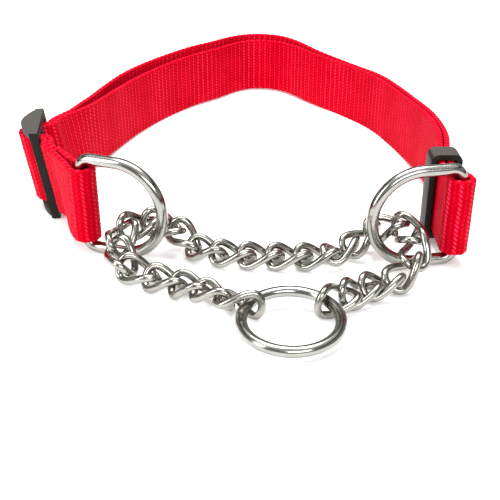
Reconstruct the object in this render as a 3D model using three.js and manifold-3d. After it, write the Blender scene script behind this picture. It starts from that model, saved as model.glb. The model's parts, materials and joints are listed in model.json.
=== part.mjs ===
// Martingale collar: one nylon strap doubled through two D-rings, a twist-link chain loop and a leash ring.
// Millimetres, +Z up, the leash ring towards -Y. The origin ends up under the middle of the whole part.
import * as THREE from 'three';
import { mergeVertices } from 'three/addons/utils/BufferGeometryUtils.js';
import Module from 'manifold-3d';

const wasm = await Module();
wasm.setup();

// Driving dimensions
const STRAP = { width: 24, thick: 1.9, lift: 4.4, groundedFrom: 10, groundedTo: 100 };
const LAYERS = { clearance: 0.35, bulge: 2.6 };
const D_RING = { height: 29.2, depth: 26.4, wire: 3.6, corner: 3.2 };
const LEASH_RING = { radius: 13.2, wire: 3.2, x: 10.8, y: -46.9, height: 4.1, tilt: 4 };
const LINK = { halfLength: 6.4, halfWidth: 3.6, twist: 2.4, wire: 2.2 };
const LINKS = 24;
const SLIDER = { length: 26, bar: 3, thick: 2.8, border: 2.4, slot: 25.6, arch: 6.4, tip: 1.96 };
const CENTRE_BAR = { low: 0.2, width: 3.2, inset: 0.2 };
const KEEPER = { length: 7.2, wall: 1.7, gap: 6.2, slot: 24.8, corner: 2.4, innerCorner: 0.5 };
const FOLD_RADIUS = 3.35; // strap's middle to the D-ring bar's axis

// Where the D-ring bars stand, and which way each ring points, in degrees about +Z
const LEFT_BAR = new THREE.Vector2(-50.7, 0.2);
const RIGHT_BAR = new THREE.Vector2(61.6, -8);
const LEFT_D_TURN = -21;
const RIGHT_D_TURN = 191;
// The strap's turn round each bar, from where it comes on to where it leaves, in degrees about +Z
const LEFT_FOLD = [222, 420];
const RIGHT_FOLD = [183, 357];

// How finely curves are cut: lengths in mm, then counts of flat sides
const STRAP_STEP = 5;
const LEG_STEP = 2.5;
const THREAD_STEP = 1.7;
const FOLD_SIDES = 12;
const ARCH_SIDES = 10;
const CORNER_SIDES = 4;
const D_RING_SIDES = { along: 44, around: 8 };
const LEASH_RING_SIDES = { along: 40, around: 8 };
const LINK_SIDES = { along: 20, around: 7 };

// The slider's middle, and the way it runs from front to rear
const SLIDER_AT = new THREE.Vector2(-68.2, 35);
const SLIDER_TURN = 98;
const KEEPER_AT = new THREE.Vector2(59.8, 7.2);
// The slider and the strap in it lean outwards at the top, fading between two distances from the slider
const LEAN = { degrees: 8, full: 18.5, none: 36 };

const nylon = new THREE.MeshStandardMaterial({ color: 0xe3102f, roughness: 0.75, metalness: 0 });
const steel = new THREE.MeshStandardMaterial({ color: 0xb9b6ae, roughness: 0.18, metalness: 1 });
const plastic = new THREE.MeshStandardMaterial({ color: 0x23221f, roughness: 0.45, metalness: 0 });

const group = new THREE.Group();
const smooth = THREE.MathUtils.smoothstep;
const radians = THREE.MathUtils.degToRad;
const plan = (x, y) => new THREE.Vector2(x, y);
const turned = (degrees) => plan(Math.cos(radians(degrees)), Math.sin(radians(degrees)));

function addMesh(name, geometry, material) {
  const mesh = new THREE.Mesh(geometry, material);
  mesh.name = name;
  group.add(mesh);
  return mesh;
}

function toSolid(geometry) {
  const bare = geometry.index ? geometry.clone() : mergeVertices(geometry);
  for (const name of Object.keys(bare.attributes)) if (name !== 'position') bare.deleteAttribute(name);
  const merged = mergeVertices(bare, 1e-4);
  const vertProperties = new Float32Array(merged.attributes.position.array);
  const triVerts = new Uint32Array(merged.index.array);
  return new wasm.Manifold(new wasm.Mesh({ numProp: 3, vertProperties, triVerts }));
}

function toGeometry(solid) {
  const mesh = solid.getMesh();
  const geometry = new THREE.BufferGeometry();
  geometry.setAttribute('position', new THREE.BufferAttribute(new Float32Array(mesh.vertProperties), 3));
  geometry.setIndex(new THREE.BufferAttribute(new Uint32Array(mesh.triVerts), 1));
  geometry.computeVertexNormals();
  return geometry;
}

// ---- Strap ----

// Middle of the inner layer, seen from above, from the slider round the neck to the keeper
const INNER_RUN = [
  [-65.2, 52.9], [-62.3, 61], [-57.6, 76], [-52.2, 94], [-46.4, 110], [-38.4, 127], [-27.4, 143], [-16, 155],
  [-7, 166], [1.5, 171], [11.5, 169], [20, 161], [28.8, 147.6], [41.5, 131.8], [52.2, 113.5], [59, 91],
  [63, 67], [63.9, 49], [63.2, 33], [61, 20], [58.7, 11], [58.5, 2], [58.36, -5],
].map(([x, y]) => plan(x, y));

// Outer layer's distance from the inner one: the two part a little behind the slider
function layerGap(share) {
  const bulge = smooth(share, 0, 0.06) * (1 - smooth(share, 0.1, 0.3));
  return STRAP.thick + LAYERS.clearance + LAYERS.bulge * bulge;
}

const curve2 = (points) => new THREE.SplineCurve(points);

function samples(curve, step) {
  return curve.getSpacedPoints(Math.round(curve.getLength() / step));
}

// Each point moved sideways, to the left of the way the line runs, by distance(share of the line)
function offset(points, distance) {
  return points.map((point, i) => {
    const before = points[Math.max(i - 1, 0)];
    const after = points[Math.min(i + 1, points.length - 1)];
    const along = after.clone().sub(before).normalize();
    return point.clone().addScaledVector(plan(-along.y, along.x), distance(i / (points.length - 1)));
  });
}

// A strap standing on edge: its middle line seen from above, thickened and raised
function ribbon(points, thick = STRAP.thick) {
  const side = (sign) => offset(points, () => (sign * thick) / 2);
  const outline = new THREE.Shape([...side(-1), ...side(1).reverse()]);
  return new THREE.ExtrudeGeometry(outline, { depth: STRAP.width, bevelEnabled: false });
}

// The strap's lower edge stands on the ground behind and above the D-rings' lower wires in front
const lowerEdge = (y) => STRAP.lift * (1 - smooth(y, STRAP.groundedFrom, STRAP.groundedTo));

const strapMiddle = (y) => lowerEdge(y) + STRAP.width / 2;

function moveVertices(geometry, move) {
  const position = geometry.attributes.position;
  const vertex = new THREE.Vector3();
  for (let i = 0; i < position.count; i += 1) {
    vertex.fromBufferAttribute(position, i);
    move(vertex);
    position.setXYZ(i, ...vertex);
  }
  return geometry;
}

function leanAt(vertex) {
  const fade = 1 - smooth(plan(vertex.x, vertex.y).distanceTo(SLIDER_AT), LEAN.full, LEAN.none);
  return fade * Math.tan(radians(LEAN.degrees)) * (vertex.z - strapMiddle(SLIDER_AT.y));
}

// Lifts a strap from the ground to its lower edge and leans it near the slider
function raise(geometry) {
  const outward = turned(SLIDER_TURN + 90);
  return moveVertices(geometry, (vertex) => {
    vertex.z += lowerEdge(vertex.y);
    const distance = leanAt(vertex);
    vertex.x += outward.x * distance;
    vertex.y += outward.y * distance;
  });
}

// Turn of the strap round a D-ring's bar, between two angles
function fold(bar, [from, to]) {
  const points = [];
  for (let i = 0; i <= FOLD_SIDES; i += 1) {
    points.push(turned(from + ((to - from) * i) / FOLD_SIDES).multiplyScalar(FOLD_RADIUS).add(bar));
  }
  return points;
}

// The outer layer from the right fold to where it lies along the inner layer again
const RIGHT_OUTER_LEG = [
  plan(RIGHT_BAR.x + FOLD_RADIUS, RIGHT_BAR.y + 0.6), plan(63.8, -4.2), plan(61.7, -0.4), plan(60.95, 3.2),
];
const KEEPER_REAR_Y = 14;

function strapBody() {
  const inner = samples(curve2(INNER_RUN), STRAP_STEP);
  const outer = offset(inner, layerGap);
  const leave = outer.findIndex((point) => point.x > 0 && point.y < KEEPER_REAR_Y);
  const outerLeg = samples(curve2([...RIGHT_OUTER_LEG, outer[leave - 1]]), LEG_STEP);
  const back = outer.slice(0, leave - 1).reverse();
  return raise(ribbon([...inner, ...fold(RIGHT_BAR, RIGHT_FOLD), ...outerLeg, ...back]));
}

// ---- Threaded stretch of the strap in the slider: along the slider and out from its chord ----

const THREAD = [
  [-16.4, -2.5], [-13.5, -2.5], [-9.8, -2.4], [-7.5, -1], [-6.2, 1.2], [-4.8, 3.6], [-3, 5.4], [0, 6.2],
  [3, 5.4], [4.8, 3.6], [6.2, 1.2], [7.5, -1], [9.8, -2.4], [13.5, -2.5], [16.4, -2.5],
];

function sliderToPlan([along, out]) {
  const rearward = turned(SLIDER_TURN);
  const outward = turned(SLIDER_TURN + 90);
  return SLIDER_AT.clone().addScaledVector(rearward, along).addScaledVector(outward, out);
}

// Both layers lie close together here, so they are one solid of twice the thickness
function threadedStrap() {
  const middle = samples(curve2(THREAD.map(([along, out]) => plan(along, out))), THREAD_STEP);
  return raise(ribbon(middle.map(({ x, y }) => sliderToPlan([x, y])), 2 * STRAP.thick));
}

// The left fold's two legs, from the slider to the bar and back
const LEFT_OUTER_LEG = [sliderToPlan([-17.3, -1.45]), plan(-60.8, 14.6), plan(-57.6, 7), plan(-54.7, 0.6)];
const LEFT_INNER_LEG = [
  plan(-52.5, 5.2), plan(-54.7, 7.2), plan(-56, 9.6), plan(-58.5, 15.2), sliderToPlan([-17.3, -3.4]),
];

function leftLoop() {
  const turn = fold(LEFT_BAR, LEFT_FOLD);
  const outerLeg = samples(curve2([...LEFT_OUTER_LEG, turn[0]]), LEG_STEP);
  const innerLeg = samples(curve2([turn.at(-1), ...LEFT_INNER_LEG]), LEG_STEP);
  return raise(ribbon([...outerLeg, ...turn.slice(1, -1), ...innerLeg]));
}

addMesh('strap', strapBody(), nylon);
addMesh('strap_left_loop', leftLoop(), nylon);
addMesh('strap_in_slider', threadedStrap(), nylon);

// ---- Slider and keeper ----

function placeOnStrap(mesh, at, turn, middleHeight) {
  mesh.position.set(at.x, at.y, middleHeight);
  mesh.rotation.z = radians(turn);
  return mesh;
}

// Local axes: X front to rear, Y out from the neck, Z up
function barSolid(along, low, width, height) {
  const box = new THREE.BoxGeometry(width, SLIDER.thick, height);
  box.translate(along, low + SLIDER.thick / 2, 0);
  return toSolid(box);
}

function borderSolid(low) {
  const half = SLIDER.length / 2;
  const shape = new THREE.Shape();
  shape.moveTo(-half, 0);
  shape.lineTo(half, 0);
  shape.lineTo(half, SLIDER.tip);
  shape.quadraticCurveTo(0, 2 * SLIDER.arch - SLIDER.tip, -half, SLIDER.tip);
  const options = { depth: SLIDER.border, bevelEnabled: false, curveSegments: ARCH_SIDES };
  const border = new THREE.ExtrudeGeometry(shape, options);
  border.translate(0, 0, low);
  return toSolid(border);
}

function sliderGeometry() {
  const tall = SLIDER.slot + 2 * SLIDER.border;
  const end = (SLIDER.length - SLIDER.bar) / 2;
  const pieces = [
    borderSolid(-tall / 2), borderSolid(tall / 2 - SLIDER.border),
    barSolid(-end, 0, SLIDER.bar, tall), barSolid(end, 0, SLIDER.bar, tall),
    barSolid(0, CENTRE_BAR.low, CENTRE_BAR.width, tall - 2 * CENTRE_BAR.inset),
  ];
  const upright = toGeometry(pieces.reduce((whole, piece) => whole.add(piece)));
  return moveVertices(upright, (vertex) => {
    vertex.y += Math.tan(radians(LEAN.degrees)) * vertex.z;
  });
}

function roundedRectangle(target, width, height, radius) {
  const [x, y] = [width / 2, height / 2];
  target.moveTo(-x + radius, -y);
  target.lineTo(x - radius, -y);
  target.absarc(x - radius, -y + radius, radius, -Math.PI / 2, 0);
  target.lineTo(x, y - radius);
  target.absarc(x - radius, y - radius, radius, 0, Math.PI / 2);
  target.lineTo(-x + radius, y);
  target.absarc(-x + radius, y - radius, radius, Math.PI / 2, Math.PI);
  target.lineTo(-x, -y + radius);
  target.absarc(-x + radius, -y + radius, radius, Math.PI, 1.5 * Math.PI);
  return target;
}

function keeperGeometry() {
  const [wide, tall] = [KEEPER.gap + 2 * KEEPER.wall, KEEPER.slot + 2 * KEEPER.wall];
  const frame = roundedRectangle(new THREE.Shape(), wide, tall, KEEPER.corner);
  frame.holes.push(roundedRectangle(new THREE.Path(), KEEPER.gap, KEEPER.slot, KEEPER.innerCorner));
  const options = { depth: KEEPER.length, bevelEnabled: false, curveSegments: CORNER_SIDES };
  const keeper = new THREE.ExtrudeGeometry(frame, options);
  keeper.translate(0, 0, -KEEPER.length / 2);
  keeper.rotateX(Math.PI / 2);
  return keeper;
}

placeOnStrap(addMesh('slider', sliderGeometry(), plastic), SLIDER_AT, SLIDER_TURN, strapMiddle(SLIDER_AT.y));
placeOnStrap(addMesh('keeper', keeperGeometry(), plastic), KEEPER_AT, 0, strapMiddle(KEEPER_AT.y));

// ---- Rings ----

function dRingGeometry() {
  const { height, depth, wire, corner } = D_RING;
  const bow = height / 2;
  const path = new THREE.Path();
  path.moveTo(0, -bow + corner);
  path.lineTo(0, bow - corner);
  path.absarc(corner, bow - corner, corner, Math.PI, Math.PI / 2, true);
  path.lineTo(depth - bow, bow);
  path.absarc(depth - bow, 0, bow, Math.PI / 2, -Math.PI / 2, true);
  path.lineTo(corner, -bow);
  path.absarc(corner, -bow + corner, corner, -Math.PI / 2, -Math.PI, true);
  const { along, around } = D_RING_SIDES;
  const points = path.getSpacedPoints(along).slice(0, -1).map(({ x, y }) => new THREE.Vector3(x, 0, y));
  return new THREE.TubeGeometry(new THREE.CatmullRomCurve3(points, true), along, wire / 2, around, true);
}

function addDRing(name, bar, turn) {
  const ring = addMesh(name, dRingGeometry(), steel);
  ring.position.set(bar.x, bar.y, (D_RING.height + D_RING.wire) / 2);
  ring.rotation.z = radians(turn);
}

addDRing('left_d_ring', LEFT_BAR, LEFT_D_TURN);
addDRing('right_d_ring', RIGHT_BAR, RIGHT_D_TURN);

function leashRingGeometry() {
  const { along, around } = LEASH_RING_SIDES;
  return new THREE.TorusGeometry(LEASH_RING.radius, LEASH_RING.wire / 2, around, along);
}

const leashRing = addMesh('leash_ring', leashRingGeometry(), steel);
leashRing.position.set(LEASH_RING.x, LEASH_RING.y, LEASH_RING.height);
leashRing.rotation.x = radians(LEASH_RING.tilt);

// ---- Chain ----

// A twist link: an oval of wire whose two ends stand at right angles to each other
class LinkCurve extends THREE.Curve {
  getPoint(t, target = new THREE.Vector3()) {
    const angle = 2 * Math.PI * t;
    const [along, across] = [LINK.halfLength * Math.cos(angle), LINK.halfWidth * Math.sin(angle)];
    return target.set(along, across, -LINK.twist * Math.sin(2 * angle));
  }
}

// The chain's way, from the leash ring's left side through both D-rings and back to its right side
const CHAIN_GUIDE = new THREE.CatmullRomCurve3([
  [1.2, -40.4, 4.7], [-8.6, -36.6, 4.8], [-15.7, -30.2, 4.3], [-25, -24.9, 3.2], [-32.1, -22.4, 4.8],
  [-38.7, -19, 6.3], [-38.8, -9.2, 10.1], [-35.7, -3.1, 10.9], [-28.5, -0.1, 10.2], [-21.7, -1.1, 7.2],
  [-17.9, -4.7, 4.2], [-11.6, -8.8, 4.1], [-3.5, -10.4, 3.8], [6.1, -11, 3.7], [15.5, -11.7, 3.8],
  [24.9, -10.9, 4.3], [29.7, -7.6, 3.2], [33.3, -2.1, 7.1], [40.5, -3.7, 9.3], [44.4, -5.4, 11.4],
  [48.2, -10.9, 11.6], [48.7, -18.9, 9.5], [45, -22.9, 5.4], [40.7, -26.1, 3.5], [35, -28.2, 3.6],
  [27.6, -33.9, 4.3], [19.8, -39.6, 4.7],
].map((point) => new THREE.Vector3(...point)), false, 'centripetal');
// Links that lie turned about their own length, in degrees, counted from 0
const ROLLS = new Map([
  [0, 45], [1, 20], [4, -16], [5, -3], [6, 16], [7, 26], [8, 27], [9, 3], [15, -19], [16, -4], [17, 28],
  [18, 36], [19, 24], [20, 6], [21, 2], [22, -20], [23, -45],
]);

// Points on the curve, from end to end, each the same distance from the next
function equalSteps(curve, count) {
  const fine = curve.getPoints(4000);
  const walk = (pitch) => {
    const stops = [fine[0]];
    for (const point of fine) {
      if (stops.length <= count && point.distanceTo(stops.at(-1)) >= pitch) stops.push(point);
    }
    return stops;
  };
  let [low, high] = [0, curve.getLength() / count];
  for (let i = 0; i < 30; i += 1) {
    const pitch = (low + high) / 2;
    if (walk(pitch).length > count) low = pitch;
    else high = pitch;
  }
  return walk(low);
}

function addLink(name, start, end, roll) {
  const { along: sides, around } = LINK_SIDES;
  const geometry = new THREE.TubeGeometry(new LinkCurve(), sides, LINK.wire / 2, around, true);
  const link = addMesh(name, geometry, steel);
  const along = end.clone().sub(start).normalize();
  const across = new THREE.Vector3(0, 0, 1).cross(along).normalize();
  const up = along.clone().cross(across);
  link.quaternion.setFromRotationMatrix(new THREE.Matrix4().makeBasis(along, across, up));
  link.rotateX(radians(roll));
  link.position.copy(start).lerp(end, 0.5);
}

const chainJoints = equalSteps(CHAIN_GUIDE, LINKS);
for (let i = 0; i < LINKS; i += 1) {
  const name = `link_${String(i + 1).padStart(2, '0')}`;
  addLink(name, chainJoints[i], chainJoints[i + 1], ROLLS.get(i) ?? 0);
}

// The whole part stands on z = 0 with its middle over the origin
const box = new THREE.Box3().setFromObject(group, true);
const middle = box.getCenter(new THREE.Vector3());
group.position.set(-middle.x, -middle.y, -box.min.z);

export default group;
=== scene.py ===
"""Looks of a martingale collar: ribbed red webbing, black slider and keeper, steel chain and rings."""
import json
import math

import bmesh
import bpy
import numpy as np
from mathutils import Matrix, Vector


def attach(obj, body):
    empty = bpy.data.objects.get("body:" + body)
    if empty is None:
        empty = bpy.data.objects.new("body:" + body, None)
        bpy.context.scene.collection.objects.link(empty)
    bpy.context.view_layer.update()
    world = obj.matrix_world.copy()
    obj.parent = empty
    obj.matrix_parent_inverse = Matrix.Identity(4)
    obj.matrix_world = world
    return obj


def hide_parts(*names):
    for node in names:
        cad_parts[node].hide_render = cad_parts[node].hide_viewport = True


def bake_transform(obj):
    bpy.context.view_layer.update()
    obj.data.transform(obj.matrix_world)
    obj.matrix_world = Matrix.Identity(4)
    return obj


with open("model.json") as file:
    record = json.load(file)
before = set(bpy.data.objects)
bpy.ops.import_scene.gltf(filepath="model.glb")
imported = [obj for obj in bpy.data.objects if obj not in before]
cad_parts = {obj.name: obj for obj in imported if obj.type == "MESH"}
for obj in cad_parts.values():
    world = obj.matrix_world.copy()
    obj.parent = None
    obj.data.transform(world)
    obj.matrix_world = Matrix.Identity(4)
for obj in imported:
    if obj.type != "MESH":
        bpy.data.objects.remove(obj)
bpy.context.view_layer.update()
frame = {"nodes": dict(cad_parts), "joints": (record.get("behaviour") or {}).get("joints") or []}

MM = 0.001
JOINTS = {joint["name"]: joint for joint in frame["joints"]}

# The D-ring bars in the plan, and the plan's own zero in the frame, which the left D-ring's joint fixes.
# Lengths in the plan, and of the strap and the wire, are in mm; Blender's own are in metres.
LEFT_BAR = np.array([-50.7, 0.2])
RIGHT_BAR = np.array([61.6, -8.0])
HOME = np.array([*(np.array(JOINTS["left_d_swing"]["pos_m"][:2]) / MM - LEFT_BAR), 0.0])

# The strap
WIDTH = 24.0
THICK = 1.9
LIFT = 4.4             # of its lower edge off the floor at the front
LIFT_FADE = (10, 100)  # plan Y over which that lift falls to 0
FOLD_RADIUS = 3.35     # of its middle line round a D-ring's bar
FOLD_FADE = (6, 13)    # from a D-ring's bar, over which the fold's slanting beads straighten
LAYER_OFFSET = 0.97    # of each layer's middle line from the thread's line inside the slider
LAYER_GAP = 0.35       # between its two layers round the neck
PARTING = 2.6          # how much further the two layers part just behind the slider
BACK_LIFT = 0.6        # how much higher both layers stand at the back, as the photo shows their top edges
OUTER_LIFT = 2.6       # how much higher again the outer layer stands there
BACK_Y = (55, 120)     # plan Y over which the back's lift begins
BACK_X = (12, 52)      # plan X over which it ends, towards the right
OUTER_FROM = 12        # plan Y from which the right half of the outer layer follows the inner one
RUN_STEP = 1.0         # between the points of the neck's run
THREAD_STEP = 0.5      # between the points of the thread in the slider
THREAD_TRIM = 7        # points left off the rear end of the thread, where the neck's run joins it
SPAN_POINTS = 24       # in each span of a spline
FACES = 76             # points up each side of its section
EDGE_ROUND = 0.5       # of its two edges, across its width
STEP = 0.355           # between its cross sections
REAR_LENGTH = 17.0     # of strap at each end of the neck's run that goes with the slider
EASED = (41, 85)       # cross sections from each end between which it bends away from the slider
EASING_PASSES = 60

# The slider's middle in plan, the way the strap runs through it, and its top's lean outwards
SLIDER_AT = np.array([-68.2, 35.0])
SLIDER_TURN = math.radians(98)
REARWARD = np.array([math.cos(SLIDER_TURN), math.sin(SLIDER_TURN)])
OUTWARD = np.array([-REARWARD[1], REARWARD[0]])
LEAN = math.radians(8)
LEAN_FADE = (18.5, 36)   # from the slider's middle, over which the strap's lean falls to 0

# Rings and links: their sizes are to the middle of the wire, whose own thickness follows them
D_HEIGHT = 29.2
D_DEPTH = 26.4
D_WIRE = 3.6
D_CORNER = 3.2
D_STEP = 0.9             # between the points along a D-ring's wire
LEASH_RING_RADIUS = 13.2
LEASH_RING_WIRE = 3.2
RING_SIDES = 28
LINK_HALF_LENGTH = 6.4
LINK_HALF_WIDTH = 3.6
LINK_TWIST = 2.4         # how far the wire leaves the link's plane
LINK_WIRE = 2.22
LINK_FULLER = 0.07       # how much thicker a link's wire is at its sides, as a share
LINK_SIDES = 20

# Bevels of the mouldings' corners, in metres
SLIDER_ROUNDING = 0.0009
KEEPER_ROUNDING = 0.0005


# ---- Camera, light and floor ----

def add_camera():
    elevation = math.radians(28)
    distance = 258.6
    target = Vector(HOME * MM)
    data = bpy.data.cameras.new("camera")
    data.lens = 59.0
    data.sensor_width = 36.0
    camera = bpy.data.objects.new("camera", data)
    back = Vector((0, -math.cos(elevation), math.sin(elevation)))
    camera.location = target + back * distance * MM
    camera.rotation_euler = back.to_track_quat("Z", "Y").to_euler()
    bpy.context.scene.collection.objects.link(camera)
    bpy.context.scene.camera = camera


def add_area_light(name, place, aim, size, power):
    data = bpy.data.lights.new(name, "AREA")
    data.shape = "RECTANGLE"
    data.size, data.size_y = size
    data.energy = power
    light = bpy.data.objects.new(name, data)
    light.location = place
    light.rotation_euler = (Vector(place) - Vector(aim)).to_track_quat("Z", "Y").to_euler()
    bpy.context.scene.collection.objects.link(light)


def add_world():
    """Room light in bright and dark bands above a dark horizon, so that polished wire shows streaks."""
    world = bpy.data.worlds.new("studio")
    bpy.context.scene.world = world
    world.use_nodes = True
    nodes, links = world.node_tree.nodes, world.node_tree.links
    split = nodes.new("ShaderNodeSeparateXYZ")
    links.new(nodes.new("ShaderNodeTexCoord").outputs["Generated"], split.inputs[0])
    level = nodes.new("ShaderNodeMapRange")
    level.inputs["From Min"].default_value = -1
    links.new(split.outputs["Z"], level.inputs["Value"])
    bands = ramp(nodes, [(0.49, (0.1,) * 3), (0.56, (0.06,) * 3), (0.62, (0.6,) * 3), (0.7, (0.5,) * 3),
                         (0.75, (0.05,) * 3), (0.82, (0.08,) * 3), (0.88, (1.1,) * 3), (1.0, (0.9,) * 3)])
    links.new(level.outputs[0], bands.inputs["Fac"])
    links.new(bands.outputs["Color"], nodes["Background"].inputs["Color"])
    nodes["Background"].inputs["Strength"].default_value = 1.0


def add_studio():
    bpy.context.scene.view_settings.view_transform = "Standard"
    add_world()
    add_area_light("overhead", (0, 0.05, 0.6), (0, 0, 0), (0.5, 0.35), 5.5)
    add_area_light("left", (-0.55, -0.35, 0.32), (0, 0, 0), (0.2, 0.5), 3.2)
    add_area_light("front", (0.2, -0.8, 0.45), (0, 0, 0), (0.6, 0.22), 5)
    mesh = bpy.data.meshes.new("floor")
    mesh.from_pydata([(-3, -3, 0), (3, -3, 0), (3, 5, 0), (-3, 5, 0)], [], [(0, 1, 2, 3)])
    floor = bpy.data.objects.new("floor", mesh)
    bpy.context.scene.collection.objects.link(floor)
    material = bpy.data.materials.new("floor")
    material.use_nodes = True
    shader = material.node_tree.nodes["Principled BSDF"]
    shader.inputs["Base Color"].default_value = (0.93, 0.93, 0.93, 1)
    shader.inputs["Roughness"].default_value = 0.6
    shader.inputs["Emission Color"].default_value = (1, 1, 1, 1)
    shader.inputs["Emission Strength"].default_value = 0.14
    mesh.materials.append(material)


# ---- Materials ----

def new_material(name):
    material = bpy.data.materials.new(name)
    material.use_nodes = True
    nodes = material.node_tree.nodes
    return material, nodes, material.node_tree.links, nodes["Principled BSDF"]


def ramp(nodes, stops):
    node = nodes.new("ShaderNodeValToRGB")
    elements = node.color_ramp.elements
    while len(elements) < len(stops):
        elements.new(0.5)
    for element, (position, colour) in zip(elements, stops):
        element.position = position
        element.color = (*colour, 1)
    return node


def noise(nodes, links, coordinates, scale, detail, stretch=None):
    node = nodes.new("ShaderNodeTexNoise")
    node.inputs["Scale"].default_value = scale
    node.inputs["Detail"].default_value = detail
    if stretch:
        mapping = nodes.new("ShaderNodeMapping")
        mapping.inputs["Scale"].default_value = stretch
        links.new(coordinates, mapping.inputs["Vector"])
        coordinates = mapping.outputs["Vector"]
    links.new(coordinates, node.inputs["Vector"])
    return node.outputs["Fac"]


def math_node(nodes, links, operation, a, b):
    node = nodes.new("ShaderNodeMath")
    node.operation = operation
    for socket, value in zip(node.inputs, (a, b)):
        if isinstance(value, (int, float)):
            socket.default_value = value
        else:
            links.new(value, socket)
    return node.outputs[0]


def bump(nodes, links, height, distance, strength):
    node = nodes.new("ShaderNodeBump")
    node.inputs["Strength"].default_value = strength
    node.inputs["Distance"].default_value = distance
    links.new(height, node.inputs["Height"])
    return node.outputs["Normal"]


def webbing_material():
    """Dyed nylon: the mesh's weave height paints shade into the grooves and a pink highlight onto the
    crowns; fine threads are bump.
    """
    material, nodes, links, shader = new_material("red_webbing")
    uv = nodes.new("ShaderNodeUVMap")
    uv.uv_map = "cloth"
    # the weave attribute holds the painted shade of the grooves and painted highlight of the crowns
    height = nodes.new("ShaderNodeAttribute")
    height.attribute_name = "weave"
    patches = noise(nodes, links, uv.outputs["UV"], 0.09, 3)
    fibres = noise(nodes, links, uv.outputs["UV"], 1.6, 2, (1.0, 5.0, 1.0))
    lift = math_node(nodes, links, "MULTIPLY_ADD", patches, 0.25)
    lift.node.inputs[2].default_value = -0.125
    shade = math_node(nodes, links, "ADD", height.outputs["Fac"], lift)
    # colour from painted shade in the grooves up to a painted pink highlight on the crowns, over random
    # patches of tone
    colours = ramp(nodes, [(0.05, (0.2, 0.0, 0.003)), (0.35, (0.4, 0.0, 0.006)),
                           (0.65, (0.49, 0.001, 0.012)), (0.95, (0.7, 0.024, 0.07))])
    links.new(shade, colours.inputs["Fac"])
    links.new(colours.outputs["Color"], shader.inputs["Base Color"])
    rough = math_node(nodes, links, "MULTIPLY_ADD", fibres, 0.2)
    rough.node.inputs[2].default_value = 0.48
    links.new(rough, shader.inputs["Roughness"])
    shader.inputs["Specular IOR Level"].default_value = 0.03
    shader.inputs["Specular Tint"].default_value = (1.0, 0.12, 0.3, 1)
    shader.inputs["Subsurface Weight"].default_value = 0.08
    shader.inputs["Subsurface Radius"].default_value = (0.002, 0.0003, 0.0004)
    links.new(bump(nodes, links, fibres, 0.00012, 0.6), shader.inputs["Normal"])
    return material


def steel_material(name, base, roughness, grain):
    """Nickel-plated wire: grey with cloudy plating, and faint tumbling marks in its shine and surface."""
    material, nodes, links, shader = new_material(name)
    place = nodes.new("ShaderNodeTexCoord").outputs["Object"]
    clouds = noise(nodes, links, place, 160, 3)
    marks = noise(nodes, links, place, 900, 3)
    dull, bright = [c * 0.78 for c in base], [min(1, c * 1.12) for c in base]
    colours = ramp(nodes, [(0.25, dull), (0.6, base), (0.85, bright)])
    links.new(clouds, colours.inputs["Fac"])
    links.new(colours.outputs["Color"], shader.inputs["Base Color"])
    shader.inputs["Metallic"].default_value = 1.0
    rough = math_node(nodes, links, "MULTIPLY_ADD", marks, 0.14)
    rough.node.inputs[2].default_value = roughness - 0.06
    links.new(rough, shader.inputs["Roughness"])
    links.new(bump(nodes, links, marks, 0.00003, grain), shader.inputs["Normal"])
    return material


def plastic_material():
    """Black moulded acetal with a fine spark-eroded grain and cloudy tone, with painted light making it
    paler where it faces upwards.
    """
    material, nodes, links, shader = new_material("black_plastic")
    place = nodes.new("ShaderNodeTexCoord").outputs["Object"]
    grain = noise(nodes, links, place, 2600, 2)
    clouds = noise(nodes, links, place, 120, 3)
    facing = nodes.new("ShaderNodeSeparateXYZ")
    links.new(nodes.new("ShaderNodeNewGeometry").outputs["Normal"], facing.inputs[0])
    # painted light: faces that point upwards are made paler, on top of cloudy tone that varies at random
    tone_and_top_light = math_node(nodes, links, "MULTIPLY_ADD", clouds, 0.3)
    links.new(facing.outputs["Z"], tone_and_top_light.node.inputs[2])
    colours = ramp(nodes, [(0.4, (0.009, 0.0088, 0.008)), (0.75, (0.02, 0.0195, 0.018)),
                           (0.98, (0.06, 0.055, 0.05))])
    links.new(tone_and_top_light, colours.inputs["Fac"])
    links.new(colours.outputs["Color"], shader.inputs["Base Color"])
    rough = math_node(nodes, links, "MULTIPLY_ADD", clouds, 0.15)
    rough.node.inputs[2].default_value = 0.4
    links.new(rough, shader.inputs["Roughness"])
    shader.inputs["Specular IOR Level"].default_value = 0.12
    links.new(bump(nodes, links, grain, 0.00004, 0.35), shader.inputs["Normal"])
    return material


# ---- Plan curves ----

def catmull_rom(points):
    """The same uniform spline as the CAD strap's, through every point of an open list."""
    points = np.asarray(points, float)
    padded = np.vstack([points[:1], points, points[-1:]])
    t = np.linspace(0, 1, SPAN_POINTS, endpoint=False)[:, None]
    spans = []
    for p0, p1, p2, p3 in zip(padded, padded[1:], padded[2:], padded[3:]):
        v0, v1 = (p2 - p0) / 2, (p3 - p1) / 2
        cubic, square = 2 * p1 - 2 * p2 + v0 + v1, -3 * p1 + 3 * p2 - 2 * v0 - v1
        spans.append(cubic * t**3 + square * t**2 + v0 * t + p1)
    return np.vstack([*spans, points[-1:]])


def resample(points, step):
    """Points an equal distance apart along a line."""
    lengths = np.concatenate([[0], np.cumsum(np.linalg.norm(np.diff(points, axis=0), axis=1))])
    count = max(2, int(round(lengths[-1] / step)) + 1)
    at = np.linspace(0, lengths[-1], count)
    return np.stack([np.interp(at, lengths, points[:, k]) for k in range(points.shape[1])], axis=1)


def leftward(points):
    """Unit vectors to the left of the way a plan line runs."""
    along = np.gradient(points[:, :2], axis=0)
    along /= np.linalg.norm(along, axis=1)[:, None]
    return np.stack([-along[:, 1], along[:, 0]], axis=1)


def smoothstep(x, low, high):
    t = np.clip((np.asarray(x, float) - low) / (high - low), 0, 1)
    return t * t * (3 - 2 * t)


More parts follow.
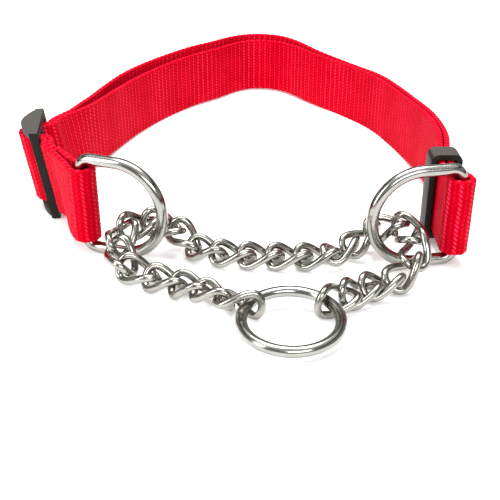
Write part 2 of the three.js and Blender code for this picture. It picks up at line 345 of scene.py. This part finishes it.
# The strap's inner layer in plan, from the slider round the neck to the right D-ring
INNER_RUN = [
    (-65.2, 52.9), (-62.3, 61), (-57.6, 76), (-52.2, 94), (-46.4, 110), (-38.4, 127), (-27.4, 143),
    (-16, 155), (-7, 166), (1.5, 171), (11.5, 169), (20, 161), (28.8, 147.6), (41.5, 131.8),
    (52.2, 113.5), (59, 91), (63, 67), (63.9, 49), (63.2, 33), (61, 20), (58.7, 11), (58.5, 2), (58.36, -5),
]
# The thread over the slider's centre bar, in the slider's own directions, from front to rear
THREAD = [
    (-16.4, -2.5), (-13.5, -2.5), (-9.8, -2.4), (-7.5, -1), (-6.2, 1.2), (-4.8, 3.6), (-3, 5.4), (0, 6.2),
    (3, 5.4), (4.8, 3.6), (6.2, 1.2), (7.5, -1), (9.8, -2.4), (13.5, -2.5), (16.4, -2.5),
]


def from_slider(points):
    """Plan points from the slider's own directions: along it from front to rear, and out from the neck."""
    points = np.atleast_2d(points)
    return SLIDER_AT + points[:, :1] * REARWARD + points[:, 1:] * OUTWARD


def fold(bar, start, end):
    """A half turn of the strap round a D-ring's bar, between two angles in degrees."""
    angles = np.radians(np.linspace(start, end, 30))
    return bar + FOLD_RADIUS * np.stack([np.cos(angles), np.sin(angles)], axis=1)


def strap_paths():
    """The strap's two middle lines, each in plan with a lift: round the neck, and round the left D-ring."""
    inner = resample(catmull_rom(INNER_RUN), RUN_STEP)
    share = np.linspace(0, 1, len(inner))
    gap = THICK + LAYER_GAP + PARTING * smoothstep(share, 0, 0.06) * (1 - smoothstep(share, 0.1, 0.3))
    outer = inner + leftward(inner) * gap[:, None]
    right_fold = fold(RIGHT_BAR, 183, 357)
    back = outer[(outer[:, 0] < 0) | (outer[:, 1] > OUTER_FROM)][::-1]
    thread = resample(catmull_rom(THREAD), THREAD_STEP)
    across = leftward(thread)
    layers = [from_slider(thread + across * side) for side in (-LAYER_OFFSET, LAYER_OFFSET)]
    middle = len(thread) // 2
    rear_inner, rear_outer = (layer[middle:-THREAD_TRIM] for layer in layers)
    front_inner, front_outer = (layer[:middle + 1] for layer in layers)
    outer_leg = [(63.8, -4.2), (61.7, -0.4), (60.95, 3.2)]
    neck = np.vstack([rear_inner, inner[2:], right_fold, outer_leg, back[:-2], rear_outer[::-1]])
    left_fold = fold(LEFT_BAR, 222, 420)
    out_leg = [(-60.8, 14.6), (-57.6, 7), (-54.7, 0.6)]
    in_leg = [(-52.5, 5.2), (-54.7, 7.2), (-56, 9.6), (-58.5, 15.2)]
    loop = np.vstack([front_outer[::-1], out_leg, left_fold, in_leg, front_inner])
    outer_part = np.arange(len(neck)) > len(rear_inner) + len(inner) + len(right_fold)
    far = smoothstep(neck[:, 1], *BACK_Y) * (1 - smoothstep(neck[:, 0], *BACK_X))
    higher = (BACK_LIFT + OUTER_LIFT * outer_part) * far
    level = np.zeros(len(loop))
    return np.column_stack([neck, higher]), np.column_stack([loop, level])


# ---- Webbing ----

COLUMN = 1.42        # pitch of the warp columns along the strap; every second one stands prouder
ROW = 1.4            # pitch of the beads up each column
RELIEF = 0.3         # how far the crowns stand above the grooves
EDGE_RELIEF = 0.18   # how far the ribs stand out along the strap's two edges
SLANT = 0.2          # of the beads across each column, as a share of a bead
FOLD_SLANT = 0.28    # how much more they slant where the strap folds round a bar


def weave(s, v, slant):
    """Height of the weave, 0 in the grooves to 1 on the crowns, at s along the strap and v across it."""
    column = s / COLUMN + 0.09 * np.sin(s * 0.37) + 0.04 * np.sin(v * 0.5 + s * 0.11)
    even = np.mod(np.floor(column), 2)
    u = (column - np.floor(column) - 0.5) * 2
    row = v / ROW + 0.5 * even + slant * u * (2 * even - 1) + 0.12 * np.sin(s * 0.9)
    w = (np.mod(row, 1) - 0.5) * 2
    crown = 1 - np.abs(u) ** 2.8
    bead = 1 - np.abs(w) ** 2.8
    proud = 0.72 + 0.28 * even * (0.75 + 0.25 * np.sin(s * 0.21))
    return np.clip(proud * (0.28 * crown + 0.14 * bead + 0.6 * crown * bead), 0, 1)


def lower_edge(plan_y):
    return LIFT * (1 - smoothstep(plan_y, *LIFT_FADE))


def lean_fade(path):
    """1 at the slider, whose top leans outwards, falling to 0 along the strap on both sides of it."""
    return 1 - smoothstep(np.linalg.norm(path[:, :2] - SLIDER_AT, axis=1), *LEAN_FADE)


def folded(path):
    """1 at a D-ring's bar, where the fold pulls the strap's beads slanting, falling to 0 away from it."""
    bars = [np.linalg.norm(path[:, :2] - bar, axis=1) for bar in (LEFT_BAR, RIGHT_BAR)]
    return 1 - smoothstep(np.minimum(*bars), *FOLD_FADE)


def section():
    """Points round the strap's section: offset from the middle line, height, and the way outwards and up."""
    half = THICK / 2
    v = np.linspace(EDGE_ROUND, WIDTH - EDGE_ROUND, FACES)
    turn = np.radians([-60, -30, 0, 30, 60])
    left = [(half, h, 1, 0) for h in v]
    rise = [EDGE_ROUND * math.cos(a) for a in turn]
    top = [(half * math.sin(-a), WIDTH - EDGE_ROUND + h, -math.sin(a), math.cos(a))
           for a, h in zip(turn, rise)]
    right = [(-half, h, -1, 0) for h in v[::-1]]
    bottom = [(-half * math.sin(-a), EDGE_ROUND - h, math.sin(a), -math.cos(a))
              for a, h in zip(turn, rise)]
    return np.array([*left, *top, *right, *bottom])


def ribbon(path, start):
    """Vertices, quads, end caps, uv and shade of a strap on edge along a plan line with a lift."""
    ring = section()
    steps = np.concatenate([[0], np.cumsum(np.linalg.norm(np.diff(path, axis=0), axis=1))]) + start
    sideways = leftward(path)
    s = steps[:, None]
    offset, height, out, up = ring.T
    flat = np.abs(out) > 0.99
    relief = weave(s, height[None, :], SLANT + FOLD_SLANT * folded(path)[:, None])
    edge = 0.5 - 0.5 * np.cos(math.pi * s / COLUMN)
    rise = np.where(flat, RELIEF * (relief - 0.7), EDGE_RELIEF * (edge - 0.6))
    wave = 0.25 * np.sin(s / 23.0) + 0.15 * np.sin(s / 9.7 + 1.0)
    sway = offset[None, :] + out[None, :] * rise
    x = path[:, :1] + sideways[:, :1] * sway
    y = path[:, 1:2] + sideways[:, 1:] * sway
    ground = lower_edge(path[:, 1:2]) + path[:, 2:] + wave * smoothstep(path[:, 1:2], 20, 60)
    z = ground + height[None, :] + up[None, :] * rise
    lean = lean_fade(path)[:, None] * math.tan(LEAN) * (z - lower_edge(SLIDER_AT[1]) - WIDTH / 2)
    x = x + OUTWARD[0] * lean
    y = y + OUTWARD[1] * lean
    vertices = np.stack([x, y, z], axis=2).reshape(-1, 3)
    # painted shade and highlight: grooves darker and crowns lighter on the faces, and the edge ribs lighter
    # on their tops
    shade = np.where(flat, relief, 0.45 + 0.35 * edge)
    count, around = len(path), len(ring)
    i = np.arange(count - 1)[:, None] * around
    j = np.arange(around)[None, :]
    k = (j + 1) % around
    quads = np.stack([i + j, i + around + j, i + around + k, i + k], axis=2).reshape(-1, 4)
    caps = [list(range(around)), list(range((count - 1) * around, count * around))[::-1]]
    uv = np.stack(np.broadcast_arrays(s, height[None, :]), axis=2).reshape(-1, 2)
    return vertices, quads, caps, uv, shade.reshape(-1)


def webbing_piece(name, stretches, material):
    """One object of one or more closed stretches of strap, each a line and its start along the strap."""
    vertices, polygons, uvs, shades = [], [], [], []
    for path, start in stretches:
        points, quads, caps, uv, shade = ribbon(path, start)
        base = sum(len(v) for v in vertices)
        polygons += (quads + base).tolist() + [[n + base for n in cap] for cap in caps]
        vertices.append(points)
        uvs.append(uv)
        shades.append(shade)
    points = (np.vstack(vertices) + HOME) * MM
    mesh = bpy.data.meshes.new(name)
    mesh.from_pydata(points.tolist(), [], polygons)
    layer = mesh.uv_layers.new(name="cloth")
    loops = np.zeros(len(mesh.loops), int)
    mesh.loops.foreach_get("vertex_index", loops)
    layer.data.foreach_set("uv", np.vstack(uvs)[loops].astype(np.float32).ravel())
    # the weave attribute carries that painted shade and highlight, which the webbing's colour follows
    attribute = mesh.attributes.new("weave", "FLOAT", "POINT")
    attribute.data.foreach_set("value", np.concatenate(shades).astype(np.float32))
    mesh.polygons.foreach_set("use_smooth", [True] * len(mesh.polygons))
    mesh.materials.append(material)
    piece = bpy.data.objects.new(name, mesh)
    bpy.context.scene.collection.objects.link(piece)
    return piece


def eased(path, low, high):
    """The line with its bends rounded off between two point numbers from each end, near the slider."""
    path = path.copy()
    number = np.arange(1, len(path) - 1)
    number = np.minimum(number, len(path) - 1 - number)
    free = ((number > low) & (number < high))[:, None] * 0.5
    for _ in range(EASING_PASSES):
        path[1:-1] += free * ((path[:-2] + path[2:]) / 2 - path[1:-1])
    return path


def add_webbing(material):
    neck, loop = (resample(path, STEP) for path in strap_paths())
    neck = eased(neck, *EASED)
    cut = int(round(REAR_LENGTH / STEP))
    total = len(neck) * STEP
    main = webbing_piece("webbing_neck", [(neck[cut:-cut], cut * STEP)], material)
    rear_ends = [(neck[:cut + 1], 0), (neck[-cut - 1:], total - (cut + 1) * STEP)]
    rear = webbing_piece("webbing_rear", rear_ends, material)
    front = webbing_piece("webbing_loop", [(loop, 0.0)], material)
    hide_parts("strap")
    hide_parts("strap_in_slider")
    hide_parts("strap_left_loop")
    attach(main, "webbing")
    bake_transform(rear)
    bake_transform(front)


# ---- Steel wire ----

def tube(name, path, radius, sides, material, swell):
    """A closed loop of round wire along path; swell gives each point's radius as a share."""
    count = len(path)
    along = np.roll(path, -1, axis=0) - np.roll(path, 1, axis=0)
    along /= np.linalg.norm(along, axis=1)[:, None]
    normal = np.cross(along[0], [0.3, 0.2, 0.9])
    normals = []
    for direction in along:
        normal = normal - direction * (normal @ direction)
        normal /= np.linalg.norm(normal)
        normals.append(normal)
    normals = np.array(normals)
    last = normals[-1] - along[0] * (normals[-1] @ along[0])
    last /= np.linalg.norm(last)
    twist = math.atan2(np.cross(last, normals[0]) @ along[0], last @ normals[0])
    share = np.arange(count)[:, None] / count
    angle = np.linspace(0, 2 * math.pi, sides, endpoint=False)[None, :] + twist * share
    across = np.cross(along, normals)
    size = swell[:, None, None] * radius
    ring = np.cos(angle)[..., None] * normals[:, None] + np.sin(angle)[..., None] * across[:, None]
    vertices = (path[:, None] + size * ring).reshape(-1, 3)
    i, j = np.arange(count)[:, None], np.arange(sides)[None, :]
    i2, j2 = (i + 1) % count, (j + 1) % sides
    corners = [i * sides + j, i2 * sides + j, i2 * sides + j2, i * sides + j2]
    quads = np.stack(corners, axis=2).reshape(-1, 4)
    mesh = bpy.data.meshes.new(name)
    mesh.from_pydata(vertices.tolist(), [], quads.tolist())
    mesh.polygons.foreach_set("use_smooth", [True] * len(mesh.polygons))
    mesh.materials.append(material)
    piece = bpy.data.objects.new(name, mesh)
    bpy.context.scene.collection.objects.link(piece)
    return piece


def weld(share, at, width, height):
    """A low weld bead round the wire at one place on the loop, in a slight hollow."""
    away = np.abs((share - at + 0.5) % 1 - 0.5)
    return 1 + height * np.exp(-((away / width) ** 2)) - 0.03 * np.exp(-((away / (2.6 * width)) ** 2))


def node_points(node):
    mesh = frame["nodes"][node].data
    points = np.zeros(len(mesh.vertices) * 3)
    mesh.vertices.foreach_get("co", points)
    return points.reshape(-1, 3)


def node_axes(node):
    """A node's middle and its long, middle and short directions, from its own CAD solid."""
    points = np.unique(np.round(node_points(node), 7), axis=0)
    middle = points.mean(axis=0)
    _, _, axes = np.linalg.svd(points - middle, full_matrices=False)
    if np.linalg.det(axes) < 0:
        axes[2] *= -1
    return middle, axes


def add_link(node, material):
    middle, axes = node_axes(node)
    angle = np.linspace(0, 2 * math.pi, 72, endpoint=False)
    local = np.stack([LINK_HALF_LENGTH * np.cos(angle), LINK_HALF_WIDTH * np.sin(angle),
                      -LINK_TWIST * np.sin(2 * angle)], axis=1) * MM
    swell = weld(angle / (2 * math.pi), 0.25, 0.012, 0.015) * (1 + LINK_FULLER * np.sin(angle) ** 4)
    piece = tube(node + "_wire", middle + local @ axes, LINK_WIRE / 2 * MM, LINK_SIDES, material, swell)
    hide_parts(node)
    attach(piece, node)


def d_ring_path():
    """The D in its own plane: X out from the straight bar, Z up from its middle."""
    bow = D_HEIGHT / 2
    quarter = np.linspace(0, math.pi / 2, 12)
    half = np.linspace(math.pi / 2, -math.pi / 2, 60)
    top = np.column_stack([D_CORNER - D_CORNER * np.cos(quarter),
                           bow - D_CORNER + D_CORNER * np.sin(quarter)])
    arc = np.column_stack([D_DEPTH - bow + bow * np.cos(half), bow * np.sin(half)])
    bottom = top[::-1] * [1, -1]
    return resample(np.vstack([top, arc, bottom, top[:1]]), D_STEP)[:-1]


def add_d_ring(node, bar, material):
    path = d_ring_path()
    far = node_points(node).mean(axis=0)[:2] / MM - HOME[:2] - bar
    out = far / np.linalg.norm(far)
    plan = bar + path[:, :1] * out
    height = (D_HEIGHT + D_WIRE) / 2 + path[:, 1:]
    points = (np.hstack([plan, height]) + HOME) * MM
    share = np.arange(len(path)) / len(path)
    swell = weld(share, 0.93, 0.01, 0.04)
    piece = tube(node + "_wire", points, D_WIRE / 2 * MM, RING_SIDES, material, swell)
    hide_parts(node)
    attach(piece, node)


def add_leash_ring(material):
    middle, axes = node_axes("leash_ring")
    angle = np.linspace(0, 2 * math.pi, 144, endpoint=False)
    weld_angle = math.atan2(-0.2, -1)
    right = np.array([1.0, 0, 0]) - axes[2] * axes[2][0]
    right /= np.linalg.norm(right)
    ahead = np.cross(axes[2] * np.sign(axes[2][2]), right)
    local = LEASH_RING_RADIUS * MM * (np.outer(np.cos(angle), right) + np.outer(np.sin(angle), ahead))
    share = (angle - weld_angle) / (2 * math.pi)
    swell = weld(share % 1, 0.0, 0.008, 0.05)
    piece = tube("leash_ring_wire", middle + local, LEASH_RING_WIRE / 2 * MM, RING_SIDES, material, swell)
    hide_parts("leash_ring")
    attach(piece, "leash_ring")


# ---- Moulded parts ----

def add_moulding(node, material, rounding):
    """A copy of a CAD solid with its flat facets joined and its corners rounded like moulded plastic's."""
    mesh = frame["nodes"][node].data.copy()
    solid = bmesh.new()
    solid.from_mesh(mesh)
    bmesh.ops.remove_doubles(solid, verts=solid.verts, dist=2e-6)
    bmesh.ops.dissolve_limit(solid, angle_limit=math.radians(1), verts=solid.verts, edges=solid.edges)
    solid.to_mesh(mesh)
    solid.free()
    mesh.materials.clear()
    mesh.materials.append(material)
    piece = bpy.data.objects.new(node + "_moulding", mesh)
    bpy.context.scene.collection.objects.link(piece)
    bevel = piece.modifiers.new("rounded", "BEVEL")
    bevel.width = rounding
    bevel.segments = 4
    bevel.limit_method = "ANGLE"
    bevel.angle_limit = math.radians(35)
    bevel.harden_normals = True
    mesh.polygons.foreach_set("use_smooth", [True] * len(mesh.polygons))
    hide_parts(node)
    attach(piece, node)


add_camera()
add_studio()
add_webbing(webbing_material())
ring_steel = steel_material("ring_steel", (0.33, 0.325, 0.3), 0.17, 0.12)
chain_steel = steel_material("chain_steel", (0.31, 0.3, 0.27), 0.2, 0.2)
black = plastic_material()
add_moulding("slider", black, SLIDER_ROUNDING)
add_moulding("keeper", black, KEEPER_ROUNDING)
add_d_ring("left_d_ring", LEFT_BAR, ring_steel)
add_d_ring("right_d_ring", RIGHT_BAR, ring_steel)
add_leash_ring(ring_steel)
for link in sorted(name for name in frame["nodes"] if name.startswith("link_")):
    add_link(link, chain_steel)

bpy.context.view_layer.update()
